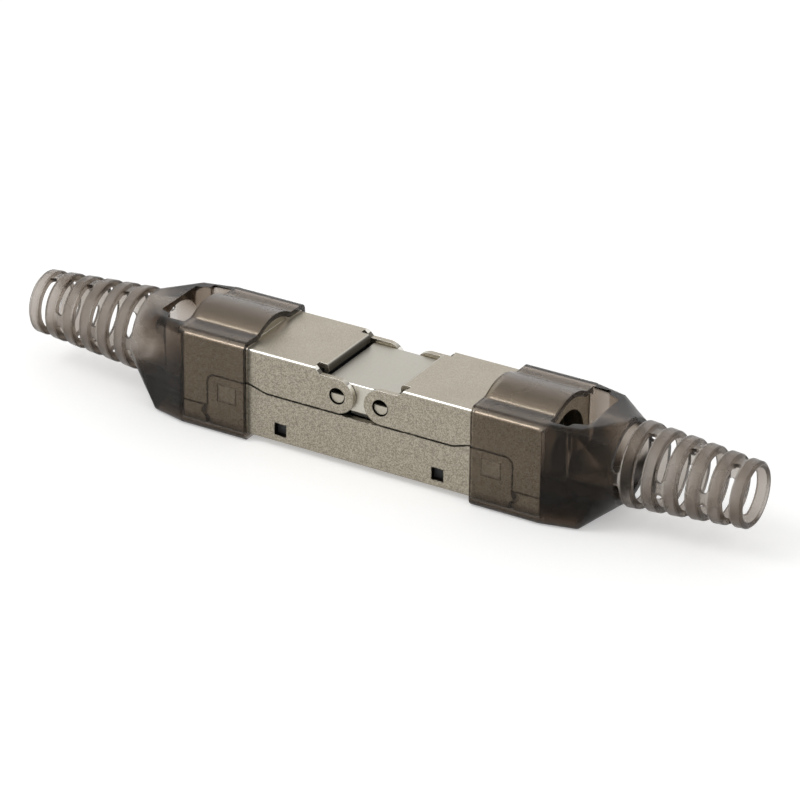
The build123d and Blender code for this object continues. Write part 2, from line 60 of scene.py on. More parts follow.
class Slot(Enum):
    """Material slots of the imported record."""

    NICKEL = "nickel"
    COVER_METAL = "cover_metal"
    PIN_STEEL = "pin_steel"
    SPRING_STEEL = "spring_steel"
    SMOKE_PLASTIC = "smoke_plastic"
    DARK_PLASTIC = "dark_plastic"
    WHITE_PLASTIC = "white_plastic"
    BOARD = "board"
    CONTACT_METAL = "contact_metal"


class Blend(Enum):
    """What a blend works on."""

    COLOUR = "RGBA"
    NUMBER = "FLOAT"


def opaque(colour: Colour) -> tuple[float, ...]:
    """A colour with full cover, as colour sockets take it."""
    return (*colour, 1.0)


class ShaderSheet:
    """A node tree with short ways to add nodes and join them."""

    def __init__(self, tree: bpy.types.NodeTree) -> None:
        """Takes over a node tree.

        Args:
            tree: the node tree to work on; what it holds is cleared.
        """
        self.tree = tree
        self.tree.nodes.clear()

    def node(self, kind: str, values: Values | None = None, **settings: object) -> bpy.types.Node:
        """Adds a node.

        Args:
            kind: the node's type without the leading ShaderNode.
            values: constants or sockets for its inputs, by name or number.
            settings: properties of the node itself, set before its inputs.

        Returns:
            The new node.
        """
        made = self.tree.nodes.new("ShaderNode" + kind)
        for name, setting in settings.items():
            setattr(made, name, setting)
        for name, value in (values or {}).items():
            if isinstance(value, bpy.types.NodeSocket):
                self.join(value, made.inputs[name])
            else:
                made.inputs[name].default_value = value
        return made

    def join(self, source: Socket, target: Socket) -> None:
        """Links an output to an input."""
        self.tree.links.new(source, target)

    def math(self, operation: str, *values: Value, clamp: bool = False) -> Socket:
        """Works out a number.

        Args:
            operation: the sum to do, as the Math node names it.
            values: its terms in order.
            clamp: whether the result is kept between 0 and 1.

        Returns:
            The socket with the result.
        """
        terms = dict(enumerate(values))
        return self.node("Math", terms, operation=operation, use_clamp=clamp).outputs[0]

    def all_of(self, first: Value, *others: Value) -> Socket:
        """Joins masks so that only what lies in every one of them is left.

        Args:
            first: a mask.
            others: the masks that it is multiplied by.

        Returns:
            The socket with the joined mask.
        """
        kept = first
        for mask in others:
            kept = self.math("MULTIPLY", kept, mask)
        return kept

    def any_of(self, first: Value, *others: Value) -> Socket:
        """Joins masks so that whatever lies in one of them is kept.

        Args:
            first: a mask.
            others: the masks that it is compared with.

        Returns:
            The socket with the highest of the masks.
        """
        highest = first
        for mask in others:
            highest = self.math("MAXIMUM", highest, mask)
        return highest

    def fade(
        self, value: Value, start: float, end: float, low: Value = 0.0, high: Value = 1.0
    ) -> Socket:
        """Goes evenly from one level to another while a value goes from start to end.

        Args:
            value: the value that is followed.
            start: where the fade starts.
            end: where it ends.
            low: the level up to the start.
            high: the level past the end.

        Returns:
            The socket with the level.
        """
        limits = {"Value": value, "From Min": start, "From Max": end, "To Min": low, "To Max": high}
        return self.node("MapRange", limits).outputs["Result"]

    def blend(self, kind: Blend, factor: Value, first: Value, second: Value) -> Socket:
        """Mixes two colours or two numbers.

        Args:
            kind: what is mixed.
            factor: the share of the second.
            first: what shows where the factor is 0.
            second: what shows where the factor is 1.

        Returns:
            The socket with the mixture.
        """
        terms = {"Factor": factor, "A": first, "B": second}
        return self.node("Mix", terms, data_type=kind.value).outputs["Result"]

    def scaled(self, vector: Value, factor: Value) -> Socket:
        """Makes a vector or colour larger or smaller.

        Args:
            vector: the vector or colour.
            factor: what each of its parts is multiplied by.

        Returns:
            The socket with the result.
        """
        terms = {0: vector, "Scale": factor}
        return self.node("VectorMath", terms, operation="SCALE").outputs["Vector"]

    def parts(self, vector: Socket) -> tuple[Socket, Socket, Socket]:
        """Takes a vector apart.

        Args:
            vector: the vector.

        Returns:
            The sockets with its X, Y and Z.
        """
        split = self.node("SeparateXYZ", {"Vector": vector}).outputs
        return split["X"], split["Y"], split["Z"]


@dataclass(frozen=True)
class Spot:
    """Where a point of the surface lies and which way it faces, in the coupler's own frame."""

    place: Socket
    facing: Socket
    x: Socket
    z: Socket
    along: Socket
    across: Socket
    facing_x: Socket
    facing_z: Socket

    @classmethod
    def on(cls, sheet: ShaderSheet) -> "Spot":
        """Reads the place and the normal.

        Args:
            sheet: the nodes of a material or group.

        Returns:
            The spot. Its along and across are distances from the middle, the same on both sides.
        """
        source = sheet.node("TexCoord").outputs
        x, y, z = sheet.parts(source["Object"])
        facing_x, _, facing_z = sheet.parts(source["Normal"])
        along = sheet.math("ABSOLUTE", x)
        across = sheet.math("ABSOLUTE", y)
        return cls(source["Object"], source["Normal"], x, z, along, across, facing_x, facing_z)


class SharedGroup:
    """A shader node group that several materials use."""

    NAME = ""
    INPUTS: SocketRows = ()
    OUTPUTS: SocketRows = ()

    @classmethod
    def tree(cls) -> bpy.types.NodeTree:
        """The group, built the first time that it is asked for."""
        return bpy.data.node_groups.get(cls.NAME) or cls._build()

    @classmethod
    def _build(cls) -> bpy.types.NodeTree:
        """Makes the group's sockets and has its nodes added.

        Returns:
            The new group.
        """
        group = bpy.data.node_groups.new(cls.NAME, "ShaderNodeTree")
        for name, kind in cls.INPUTS:
            group.interface.new_socket(name=name, in_out="INPUT", socket_type=kind)
        for name, kind in cls.OUTPUTS:
            group.interface.new_socket(name=name, in_out="OUTPUT", socket_type=kind)
        sheet = ShaderSheet(group)
        entry = group.nodes.new("NodeGroupInput")
        leave = group.nodes.new("NodeGroupOutput")
        for name, result in cls.results(sheet, entry.outputs).items():
            sheet.join(result, leave.inputs[name])
        return group

    @classmethod
    def results(cls, sheet: ShaderSheet, entry: bpy.types.NodeOutputs) -> dict[str, Socket]:
        """Adds the group's nodes. Each group has its own.

        Args:
            sheet: the group's nodes.
            entry: what comes into the group, by name.

        Returns:
            What goes out of it, by name.
        """
        raise NotImplementedError


class GrainGroup(SharedGroup):
    """Shader node group for fine surface grain with broad, faint smudges, and painted light that
    makes sideways faces brighter.
    """

    NAME = "fine_grain"
    INPUTS = (
        ("Colour", "NodeSocketColor"),
        ("Fleck Colour", "NodeSocketColor"),
        ("Fleck Scale", "NodeSocketFloat"),
        ("Fleck Share", "NodeSocketFloat"),
        ("Roughness", "NodeSocketFloat"),
        ("Roughness Spread", "NodeSocketFloat"),
        ("Smudge Scale", "NodeSocketFloat"),
        ("Side Painted Light", "NodeSocketFloat"),
    )
    OUTPUTS = (
        ("Colour", "NodeSocketColor"),
        ("Roughness", "NodeSocketFloat"),
        ("Height", "NodeSocketFloat"),
    )
    FLECK_DETAIL = 3.0
    FLECK_BREAKUP = 0.6
    FLECK_START = 0.4
    FLECK_FULL = 0.6
    SMUDGE_DETAIL = 2.0
    SMUDGE_BREAKUP = 0.5
    SMUDGE_LOW = 0.3
    SMUDGE_HIGH = 0.7
    TOP_SHARE = 0.5

    @classmethod
    def results(cls, sheet: ShaderSheet, entry: bpy.types.NodeOutputs) -> dict[str, Socket]:
        """Adds the nodes for flecks, which are fainter on faces that look up, for smudges, and for
        painted light that makes sideways faces brighter than upward ones.

        Args:
            sheet: the group's nodes.
            entry: what comes into the group, by name.

        Returns:
            What goes out of it, by name.
        """
        spot = Spot.on(sheet)
        flecks = {
            "Vector": spot.place,
            "Scale": entry["Fleck Scale"],
            "Detail": cls.FLECK_DETAIL,
            "Roughness": cls.FLECK_BREAKUP,
        }
        smudges = {
            "Vector": spot.place,
            "Scale": entry["Smudge Scale"],
            "Detail": cls.SMUDGE_DETAIL,
            "Roughness": cls.SMUDGE_BREAKUP,
        }
        fleck = sheet.node("TexNoise", flecks).outputs["Fac"]
        smudge = sheet.node("TexNoise", smudges).outputs["Fac"]
        level = sheet.math("ABSOLUTE", spot.facing_z)
        calm = sheet.fade(level, 0.0, 1.0, 1.0, cls.TOP_SHARE)
        crisp = sheet.fade(fleck, cls.FLECK_START, cls.FLECK_FULL)
        share = sheet.all_of(crisp, calm, entry["Fleck Share"])
        tint = sheet.blend(Blend.COLOUR, share, entry["Colour"], entry["Fleck Colour"])
        # Painted light: sideways faces are brightened against upward ones
        side_light = sheet.fade(level, 0.0, 1.0, entry["Side Painted Light"], 1.0)
        swing = sheet.fade(smudge, cls.SMUDGE_LOW, cls.SMUDGE_HIGH, -1.0, 1.0)
        spread, roughness = entry["Roughness Spread"], entry["Roughness"]
        return {
            "Colour": sheet.scaled(tint, side_light),
            "Roughness": sheet.math("MULTIPLY_ADD", swing, spread, roughness, clamp=True),
            "Height": fleck,
        }


class EdgeLightGroup(SharedGroup):
    """Shader node group for edge light: polish with a painted highlight on upper edges, painted shade
    along low edges and in crevices.
    """

    NAME = "edge_highlight_and_shade"
    INPUTS = (
        ("Highlight Width", "NodeSocketFloat"),
        ("Shade Width", "NodeSocketFloat"),
        ("Level", "NodeSocketFloat"),
    )
    OUTPUTS = (
        ("Polish Highlight", "NodeSocketFloat"),
        ("Painted Shade", "NodeSocketFloat"),
        ("Normal", "NodeSocketVector"),
    )
    # The first three are cosines of how far a normal leans where an edge starts and is full
    EDGE_START = 0.985
    BORDER_FULL = 0.9
    CORNER_FULL = 0.85
    BORDER_SAMPLES = 6
    SKYWARD_START = 0.1
    SKYWARD_FULL = 0.4
    PATCH_SCALE = 1400.0
    PATCH_DETAIL = 2.0
    PATCH_START = 0.62
    PATCH_FULL = 0.54
    PATCH_REST = 0.2
    BORE_RIM = 1.42 * MM
    LIP_REACH = 7.6 * MM
    LIP_FOOT = 14.42 * MM
    LIP_START = -0.35
    LIP_FULL = -0.75
    LIP_SHARE = 0.84
    SHELL_INSIDE_X = 26.0 * MM
    SHELL_INSIDE_Y = 8.15 * MM
    SHELL_FLOOR = 1.3 * MM
    SHELL_TOP = 8.7 * MM

    @classmethod
    def results(cls, sheet: ShaderSheet, entry: bpy.types.NodeOutputs) -> dict[str, Socket]:
        """Adds the nodes that find what is polished and given a painted highlight, and what is given
        painted shade.

        Args:
            sheet: the group's nodes.
            entry: what comes into the group, by name.

        Returns:
            What goes out of it, by name.
        """
        spot = Spot.on(sheet)
        border, rounded = cls._border(sheet, entry["Highlight Width"])
        seam, _ = cls._border(sheet, entry["Shade Width"])
        upper = sheet.math("GREATER_THAN", spot.z, entry["Level"])
        lower = sheet.math("SUBTRACT", 1.0, upper)
        # Painted shade in the bores, on the lids' inner lips and inside the tray
        in_shade = sheet.any_of(cls._bore(sheet, spot), cls._lip(sheet, spot), cls._inside(sheet, spot))
        # Painted shade along low edges, broken into patches
        low_edge = sheet.all_of(seam, cls._patches(sheet, spot), lower)
        _, _, rounded_up = sheet.parts(rounded)
        skyward = sheet.fade(rounded_up, cls.SKYWARD_START, cls.SKYWARD_FULL)
        # Polish with a painted highlight on edges that face up, above the level
        edge = sheet.any_of(border, cls._corner(sheet, spot))
        high_edge = sheet.all_of(edge, skyward, upper)
        return {
            "Polish Highlight": sheet.math("SUBTRACT", high_edge, in_shade, clamp=True),
            "Painted Shade": sheet.any_of(low_edge, in_shade),
            "Normal": rounded,
        }

    @classmethod
    def _border(cls, sheet: ShaderSheet, width: Socket) -> tuple[Socket, Socket]:
        """Finds the borders of flat faces from how far a rounded normal leaves the true one.

        Args:
            sheet: the group's nodes.
            width: how far the border reaches from an edge.

        Returns:
            The mask and the rounded normal.
        """
        true_normal = sheet.node("NewGeometry").outputs["Normal"]
        rounded = sheet.node("Bevel", {"Radius": width}, samples=cls.BORDER_SAMPLES).outputs["Normal"]
        normals = {0: true_normal, 1: rounded}
        match = sheet.node("VectorMath", normals, operation="DOT_PRODUCT").outputs["Value"]
        return sheet.fade(match, cls.EDGE_START, cls.BORDER_FULL), rounded

    @classmethod
    def _corner(cls, sheet: ShaderSheet, spot: Spot) -> Socket:
        """Finds rounded corners, whose normal lies along none of the axes.

        Args:
            sheet: the group's nodes.
            spot: the place and the normal.

        Returns:
            The mask.
        """
        sizes = sheet.node("VectorMath", {0: spot.facing}, operation="ABSOLUTE").outputs["Vector"]
        most = sheet.any_of(*sheet.parts(sizes))
        return sheet.fade(most, cls.EDGE_START, cls.CORNER_FULL)

    @classmethod
    def _patches(cls, sheet: ShaderSheet, spot: Spot) -> Socket:
        """Breaks the painted shade along low edges up into patches.

        Args:
            sheet: the group's nodes.
            spot: the place and the normal.

        Returns:
            The share of the painted shade that is kept at each place.
        """
        pattern = {"Vector": spot.place, "Scale": cls.PATCH_SCALE, "Detail": cls.PATCH_DETAIL}
        patch = sheet.node("TexNoise", pattern).outputs["Fac"]
        return sheet.fade(patch, cls.PATCH_START, cls.PATCH_FULL, cls.PATCH_REST)

    @classmethod
    def _bore(cls, sheet: ShaderSheet, spot: Spot) -> Socket:
        """Finds the hinge's bores and their rims, which get painted shade.

        Args:
            sheet: the group's nodes.
            spot: the place and the normal.

        Returns:
            The mask.
        """
        aside = sheet.math("SUBTRACT", spot.along, HINGE_X)
        above = sheet.math("SUBTRACT", spot.z, HINGE_Z)
        from_axis = sheet.node("CombineXYZ", {"X": aside, "Z": above}).outputs["Vector"]
        reach = sheet.node("VectorMath", {0: from_axis}, operation="LENGTH").outputs["Value"]
        return sheet.math("LESS_THAN", reach, cls.BORE_RIM)

    @classmethod
    def _inside(cls, sheet: ShaderSheet, spot: Spot) -> Socket:
        """Finds what lies inside the tray, such as the walls of its catch holes, which gets painted
        shade.

        Args:
            sheet: the group's nodes.
            spot: the place and the normal.

        Returns:
            The mask.
        """
        return sheet.all_of(
            sheet.math("LESS_THAN", spot.along, cls.SHELL_INSIDE_X),
            sheet.math("LESS_THAN", spot.across, cls.SHELL_INSIDE_Y),
            sheet.math("GREATER_THAN", spot.z, cls.SHELL_FLOOR),
            sheet.math("LESS_THAN", spot.z, cls.SHELL_TOP),
        )

    @classmethod
    def _lip(cls, sheet: ShaderSheet, spot: Spot) -> Socket:
        """Finds the lids' inner lips, which face the centre plate and get painted shade.

        Args:
            sheet: the group's nodes.
            spot: the place and the normal.

        Returns:
            The mask.
        """
        outward = sheet.math("MULTIPLY", sheet.math("SIGN", spot.x), spot.facing_x)
        return sheet.all_of(
            sheet.math("LESS_THAN", spot.along, cls.LIP_REACH),
            sheet.math("GREATER_THAN", spot.z, cls.LIP_FOOT),
            sheet.fade(outward, cls.LIP_START, cls.LIP_FULL, 0.0, cls.LIP_SHARE),
        )


@dataclass(frozen=True)
class EdgeLight:
    """Edges above a level are polished and given a painted highlight, and those below it get painted
    shade.
    """

    polish_highlight_width: float = 0.08 * MM
    painted_shade_width: float = 0.3 * MM
    level: float = 0.0
    # Painted highlight colour and smoother roughness of polished upper edges
    polish_highlight: Colour = (0.8, 0.78, 0.72)
    polish_roughness: float = 0.2
    # Painted shade colour and duller roughness along low edges and in crevices
    painted_shade: Colour = (0.02, 0.018, 0.014)
    painted_shade_roughness: float = 0.6

    def place(self, sheet: ShaderSheet) -> bpy.types.Node:
        """Puts the edge light group into a material.

        Args:
            sheet: the material's nodes.

        Returns:
            The group node.
        """
        values = {
            "Highlight Width": self.polish_highlight_width,
            "Shade Width": self.painted_shade_width,
            "Level": self.level,
        }
        return sheet.node("Group", values, node_tree=EdgeLightGroup.tree())

    def tint(self, sheet: ShaderSheet, edge_lit: bpy.types.Node, plain_colour: Socket) -> Socket:
        """Paints highlight and shade into the colour.

        Args:
            sheet: the material's nodes.
            edge_lit: the edge light group's node.
            plain_colour: the colour without painted highlight and shade.

        Returns:
            The socket with the colour with painted highlight and shade.
        """
        polish_highlight, painted_shade = edge_lit.outputs["Polish Highlight"], edge_lit.outputs["Painted Shade"]
        bright = sheet.blend(Blend.COLOUR, polish_highlight, plain_colour, opaque(self.polish_highlight))
        return sheet.blend(Blend.COLOUR, painted_shade, bright, opaque(self.painted_shade))

    def smooth(self, sheet: ShaderSheet, edge_lit: bpy.types.Node, plain_roughness: Socket) -> Socket:
        """Smooths what is polished and dulls what has painted shade.

        Args:
            sheet: the material's nodes.
            edge_lit: the edge light group's node.
            plain_roughness: the roughness before the edges are changed.

        Returns:
            The socket with the roughness after the edges are changed.
        """
        polish_highlight, painted_shade = edge_lit.outputs["Polish Highlight"], edge_lit.outputs["Painted Shade"]
        bright = sheet.blend(Blend.NUMBER, polish_highlight, plain_roughness, self.polish_roughness)
        return sheet.blend(Blend.NUMBER, painted_shade, bright, self.painted_shade_roughness)


@dataclass(frozen=True)
class Grain:
    """How the fine grain looks in one material."""

    flecks: Colour
    scale: float = 4000.0
    share: float = 0.3
    roughness: float = 0.4
    spread: float = 0.05
    smudge_scale: float = 120.0
    relief: float = 0.1
    relief_height: float = 0.02 * MM
    # Painted light: how much brighter sideways faces are than upward ones
    side_painted_light: float = 1.0

    def place(self, sheet: ShaderSheet, colour: Colour) -> bpy.types.Node:
        """Puts the grain group into a material.

        Args:
            sheet: the material's nodes.
            colour: the main colour.

        Returns:
            The group node.
        """
        values = {
            "Colour": opaque(colour),
            "Fleck Colour": opaque(self.flecks),
            "Fleck Scale": self.scale,
            "Fleck Share": self.share,
            "Roughness": self.roughness,
            "Roughness Spread": self.spread,
            "Smudge Scale": self.smudge_scale,
            "Side Painted Light": self.side_painted_light,
        }
        return sheet.node("Group", values, node_tree=GrainGroup.tree())

    def bump(self, sheet: ShaderSheet, group: bpy.types.Node) -> bpy.types.Node:
        """Turns the group's height into a bumped normal.

        Args:
            sheet: the material's nodes.
            group: the grain group's node.

        Returns:
            The bump node.
        """
        values = {
            "Strength": self.relief,
            "Distance": self.relief_height,
            "Height": group.outputs["Height"],
        }
        return sheet.node("Bump", values)


@dataclass(frozen=True)
class Finish:
    """An opaque finish: metal or moulded plastic with fine grain."""

    name: str
    slot: Slot
    colour: Colour
    grain: Grain
    metallic: float = 0.0
    edge_light: EdgeLight | None = None

    def material(self) -> bpy.types.Material:
        """Builds the finish.

        Returns:
            The material.
        """
        made = bpy.data.materials.new(self.name)
        made.use_nodes = True
        sheet = ShaderSheet(made.node_tree)
        grain = self.grain.place(sheet, self.colour)
        bump = self.grain.bump(sheet, grain)
        colour, roughness = grain.outputs["Colour"], grain.outputs["Roughness"]
        # Painted highlight on polished upper edges and painted shade along low edges and in crevices
        if self.edge_light:
            edge_lit = self.edge_light.place(sheet)
            sheet.join(edge_lit.outputs["Normal"], bump.inputs["Normal"])
            colour = self.edge_light.tint(sheet, edge_lit, colour)
            roughness = self.edge_light.smooth(sheet, edge_lit, roughness)
        surface = {
            "Metallic": self.metallic,
            "Base Color": colour,
            "Roughness": roughness,
            "Normal": bump.outputs["Normal"],
        }
        shader = sheet.node("BsdfPrincipled", surface)
        sheet.node("OutputMaterial", {"Surface": shader.outputs["BSDF"]})
        return made


@dataclass(frozen=True)
class SmokyPlastic:
    """The boots' smoky see-through moulding: clear resin that darkens with the way through it."""

    name: str = "smoky_boot"
    slot: Slot = Slot.SMOKE_PLASTIC
    resin: Colour = (1.0, 1.0, 1.0)
    smoke: Colour = (0.51, 0.43, 0.35)
    density: float = 1000.0
    refraction: float = 1.49
    sheen_tint: Colour = (0.45, 0.41, 0.37)
    sleeve_roughness: float = 0.17
    top_roughness: float = 0.28
    top_start: float = 0.3
    top_full: float = 0.7
    tube_roughness: float = 0.28
    tube_shade: float = 0.93
    # Painted shade towards the bottom of the boot
    sole_shade: float = 0.35
    sole_top: float = 0.7 * MM
    sole_fade: float = 2.8 * MM
    sleeve_end: float = 34.0 * MM
    tube_start: float = 43.0 * MM
    # Painted dark outlines along the boots' edges below the level, and a painted highlight on edges
    # above it
    edges: EdgeLight = EdgeLight(
        polish_highlight_width=0.05 * MM,
        painted_shade_width=0.27 * MM,
        level=16.6 * MM,
        painted_shade=(0.08, 0.068, 0.055),
    )
    grain: Grain = Grain(
        flecks=(0.74, 0.72, 0.69),
        scale=4500.0,
        share=0.35,
        spread=0.03,
        relief=0.6,
    )

    def material(self) -> bpy.types.Material:
        """Builds the finish.

        Returns:
            The material.
        """
        made = bpy.data.materials.new(self.name)
        made.use_nodes = True
        sheet = ShaderSheet(made.node_tree)
        spot = Spot.on(sheet)
        grain = self.grain.place(sheet, self.resin)
        bump = self.grain.bump(sheet, grain)
        sheet.join(self._roughness(sheet, spot), grain.inputs["Roughness"])
        # Painted shade: the boot gets darker towards its bottom
        shaded = sheet.scaled(grain.outputs["Colour"], self._shade(sheet, spot))
        surface = {
            "Transmission Weight": 1.0,
            "IOR": self.refraction,
            "Specular Tint": opaque(self.sheen_tint),
            # Base colour with painted outlines, painted highlight and painted shade
            "Base Color": self.edges.tint(sheet, self.edges.place(sheet), shaded),
            "Roughness": grain.outputs["Roughness"],
            "Normal": bump.outputs["Normal"],
        }
        shader = sheet.node("BsdfPrincipled", surface)
        haze = {"Color": opaque(self.smoke), "Density": self.density}
        smoke = sheet.node("VolumeAbsorption", haze)
        ends = {"Surface": shader.outputs["BSDF"], "Volume": smoke.outputs["Volume"]}
        sheet.node("OutputMaterial", ends)
        return made

    def _shade(self, sheet: ShaderSheet, spot: Spot) -> Socket:
        """The slotted tube is a little darker than the sleeve, and the sole is darker still as
        painted shade.

        Args:
            sheet: the material's nodes.
            spot: the place and the normal.

        Returns:
            The socket with the share of light that is kept at each place.
        """
        tube = sheet.fade(spot.along, self.sleeve_end, self.tube_start, 1.0, self.tube_shade)
        sole = sheet.fade(spot.z, self.sole_top, self.sole_fade, self.sole_shade)
        return sheet.all_of(tube, sole)

    def _roughness(self, sheet: ShaderSheet, spot: Spot) -> Socket:
        """The sides of sleeve and neck are smoother than their tops and the slotted tube.

        Args:
            sheet: the material's nodes.
            spot: the place and the normal.

        Returns:
            The socket with the roughness at each place.
        """
        sleeve = sheet.fade(
            spot.facing_z, self.top_start, self.top_full, self.sleeve_roughness, self.top_roughness
        )
        return sheet.fade(spot.along, self.sleeve_end, self.tube_start, sleeve, self.tube_roughness)


NICKEL = (0.425, 0.386, 0.315)
NICKEL_GRAIN = Grain(
    flecks=(0.17, 0.152, 0.118),
    scale=6000.0,
    share=0.82,
    roughness=0.38,
    spread=0.05,
    relief=0.9,
    side_painted_light=1.14,
)
# Lid edges above this height are polished with a painted highlight, those below get painted shade
LID_FOOT = 10.4 * MM
# The tray has no polished edge or painted highlight, only painted shade along its edges, so its level
# lies above the whole coupler
ABOVE_ALL = 50.0 * MM
LID_NICKEL = Finish(
    "nickel_plate_lid",
    Slot.NICKEL,
    NICKEL,
    NICKEL_GRAIN,
    metallic=1.0,
    edge_light=EdgeLight(level=LID_FOOT),
)
SHELL_NICKEL = Finish(
    "nickel_plate_shell",
    Slot.NICKEL,
    NICKEL,
    NICKEL_GRAIN,
    metallic=1.0,
    edge_light=EdgeLight(level=ABOVE_ALL),
)
COVER_PLATE = Finish(
    "cover_plate",
    Slot.COVER_METAL,
    (0.44, 0.42, 0.37),
    Grain(
        flecks=(0.36, 0.34, 0.3),
        scale=2500.0,
        share=0.4,
        roughness=0.4,
        spread=0.03,
        relief=0.15,
        side_painted_light=1.45,
    ),
    metallic=1.0,
    # Painted highlight on edges above 12 mm, painted shade below
    edge_light=EdgeLight(painted_shade_width=0.1 * MM, level=12.0 * MM),
)
PIN_STEEL = Finish(
    "pin_steel",
    Slot.PIN_STEEL,
    (0.5, 0.465, 0.39),
    Grain(flecks=(0.38, 0.35, 0.28), scale=3000.0, share=0.35, roughness=0.34, relief=0.15),
    metallic=1.0,
)
SPRING_STEEL = Finish(
    "spring_steel",
    Slot.SPRING_STEEL,
    (0.45, 0.43, 0.39),
    Grain(flecks=(0.36, 0.34, 0.3), scale=2500.0, share=0.3, roughness=0.3, relief=0.1),
    metallic=1.0,
)
CONTACT_METAL = Finish(
    "contact_plating",
    Slot.CONTACT_METAL,
    (0.7, 0.58, 0.34),
    Grain(flecks=(0.6, 0.48, 0.26), scale=3000.0, share=0.3, roughness=0.28, relief=0.05),
    metallic=1.0,
)
DARK_PLASTIC = Finish(
    "carrier_plastic",
    Slot.DARK_PLASTIC,
    (0.02, 0.021, 0.022),
    Grain(flecks=(0.035, 0.036, 0.038), scale=2500.0, share=0.5, roughness=0.5, relief=0.15),
)
WHITE_PLASTIC = Finish(
    "manager_plastic",
    Slot.WHITE_PLASTIC,
    (0.72, 0.7, 0.6),
    Grain(flecks=(0.66, 0.63, 0.52), scale=2000.0, share=0.3, roughness=0.48, relief=0.08),
)
BOARD_LACQUER = Finish(
    "board_lacquer",
    Slot.BOARD,
    (0.012, 0.085, 0.03),
    Grain(flecks=(0.02, 0.12, 0.045), scale=1500.0, share=0.4, roughness=0.35, relief=0.05),
)
FINISHES = (
    LID_NICKEL,
    COVER_PLATE,
    PIN_STEEL,
    SPRING_STEEL,
    CONTACT_METAL,
    DARK_PLASTIC,
    WHITE_PLASTIC,
    BOARD_LACQUER,
    SmokyPlastic(),
)


class Wardrobe:
    """Every finish, made once, and handed out by slot."""

    def __init__(self) -> None:
        """Builds the materials."""
        self.materials = {finish.slot: finish.material() for finish in FINISHES}
        self.special = {"base_shell": SHELL_NICKEL.material()}

    def dress(self, piece: bpy.types.Object, slot: Slot) -> None:
        """Gives a piece its own finish, or else the one of its slot.

        Args:
            piece: a mesh object.
            slot: whose finish it takes.
        """
        piece.data.materials.clear()
        piece.data.materials.append(self.special.get(piece.name, self.materials[slot]))


class PackedNodes:
    """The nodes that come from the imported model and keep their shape."""

    def __init__(self, wardrobe: Wardrobe) -> None:
        """Reads each node's slot from the record.

        Args:
            wardrobe: where the finishes come from.
        """
        self.wardrobe = wardrobe
        self.slots = {row["node"]: Slot(row["material_slot"]) for row in frame["record"]["subparts"]}

    def dress(self) -> None:
        """Gives every node the finish of its slot."""
        for name, node in frame["nodes"].items():
            self.wardrobe.dress(node, self.slots[name])
            log.info("%s takes %s", name, self.slots[name].value)


@dataclass(frozen=True)
class HingePin:
    """A hinge pin with a flat along its top and broken end edges, in metres and degrees."""

    name: str
    node: str
    x: float
    z: float = HINGE_Z
    radius: float = 1.2 * MM
    length: float = 16.2 * MM
    flat_height: float = 0.37 * MM
    end_bevel: float = 0.08 * MM
    bevel_steps: int = 2
    sides: int = 64
    smooth_angle: float = 30.0
    weld: float = 1e-7

    def build(self, wardrobe: Wardrobe) -> bpy.types.Object:
        """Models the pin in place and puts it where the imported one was.

        Args:
            wardrobe: where the finish comes from.

        Returns:
            The pin.
        """
        bpy.ops.object.select_all(action="DESELECT")
        bpy.ops.mesh.primitive_cylinder_add(
            vertices=self.sides,
            radius=self.radius,
            depth=self.length,
            location=(self.x, 0.0, self.z),
            rotation=(math.pi / 2, 0.0, 0.0),
        )
        pin = bpy.context.object
        pin.name = self.name
        bpy.ops.object.transform_apply(location=True, rotation=True, scale=True)
        bpy.ops.object.mode_set(mode="EDIT")
        bpy.ops.mesh.select_all(action="SELECT")
        bpy.ops.mesh.bisect(
            plane_co=(self.x, 0.0, self.z + self.flat_height),
            plane_no=(0.0, 0.0, 1.0),
            use_fill=True,
            clear_outer=True,
            threshold=self.weld,
        )
        self._select_end_edges(pin)
        bpy.ops.mesh.bevel(offset=self.end_bevel, segments=self.bevel_steps)
        bpy.ops.mesh.select_all(action="SELECT")
        bpy.ops.mesh.normals_make_consistent(inside=False)
        bpy.ops.object.mode_set(mode="OBJECT")
        bpy.ops.object.shade_smooth_by_angle(angle=math.radians(self.smooth_angle))
        wardrobe.dress(pin, Slot.PIN_STEEL)
        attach(pin, "body")
        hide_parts(self.node)
        return pin

    def _select_end_edges(self, pin: bpy.types.Object) -> None:
        """Selects the edges round both end faces.

        Args:
            pin: the pin, in edit mode.
        """
        bpy.ops.mesh.select_all(action="DESELECT")
        bpy.ops.mesh.select_mode(type="EDGE")
        bpy.ops.object.mode_set(mode="OBJECT")
        mesh = pin.data
        end = self.length / 2 - self.weld
        for edge in mesh.edges:
            edge.select = all(abs(mesh.vertices[number].co.y) > end for number in edge.vertices)
        bpy.ops.object.mode_set(mode="EDIT")


HINGE_PINS = (
    HingePin("turned_pin_left", "hinge_pin_left", -HINGE_X),
    HingePin("turned_pin_right", "hinge_pin_right", HINGE_X),
)


@dataclass(frozen=True)
class Softbox:
    """A square lamp that faces the coupler, in metres and watts."""

    name: str
    place: Place
    size: float
    power: float

    def build(self) -> None:
        """Hangs the lamp and turns it to the coupler."""
        data = bpy.data.lights.new(self.name, "AREA")
        data.shape = "SQUARE"
        data.size = self.size
        data.energy = self.power
        lamp = bpy.data.objects.new(self.name, data)
        lamp.location = self.place
        lamp.rotation_euler = (-Vector(self.place)).to_track_quat("-Z", "Y").to_euler()
        bpy.context.scene.collection.objects.link(lamp)


